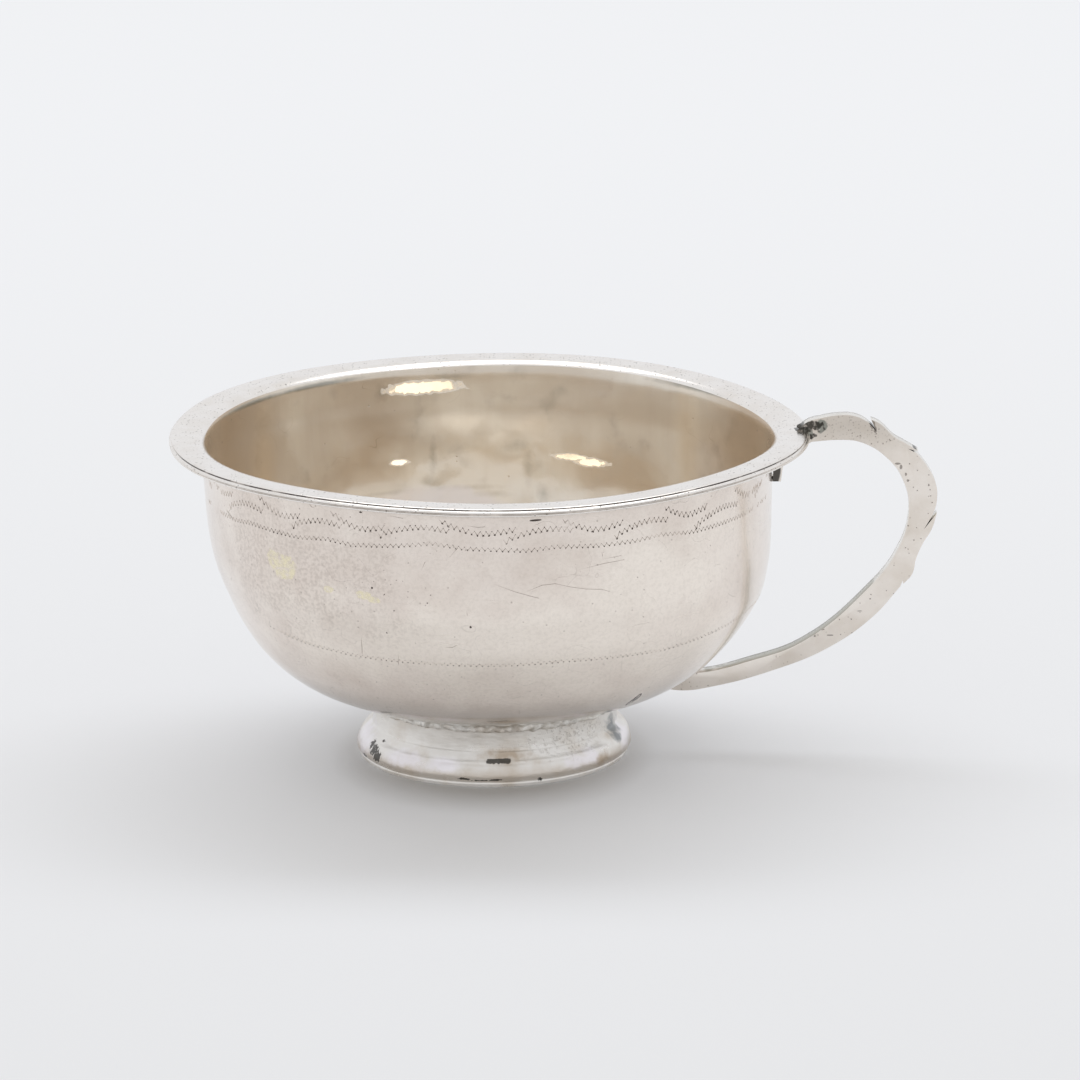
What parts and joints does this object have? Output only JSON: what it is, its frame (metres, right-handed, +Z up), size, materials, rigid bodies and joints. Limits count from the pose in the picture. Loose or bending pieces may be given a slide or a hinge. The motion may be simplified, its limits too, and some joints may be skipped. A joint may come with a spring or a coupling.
{
  "type": "handled dram cup",
  "caption": "Round silver drinking cup with a flat turned-out rim, hollow spool foot and one cut strap handle with leaf points.",
  "frame": {"origin": "centre of the bounding box at the table, under the middle of cup and handle together", "axes": "+X towards the handle, +Z up out of the bowl, +Y across; the cup's own axis is parallel to Z at x = -9.2 mm"},
  "size_m": [0.1104, 0.092, 0.05],
  "materials": {
    "silver": "old silver, hand burnished, finely pitted and scratched",
    "handle_silver": "old silver, filed and pitted, slightly dull",
    "solder": "silver solder, lumpy and tarnished"
  },
  "bodies": {
    "root": {"bowl": "silver", "rim_wire": "silver", "foot": "silver", "foot_wire": "silver", "foot_solder": "solder", "handle": "handle_silver", "rim_solder": "solder", "tail_solder": "solder"}
  },
  "joints": []
}
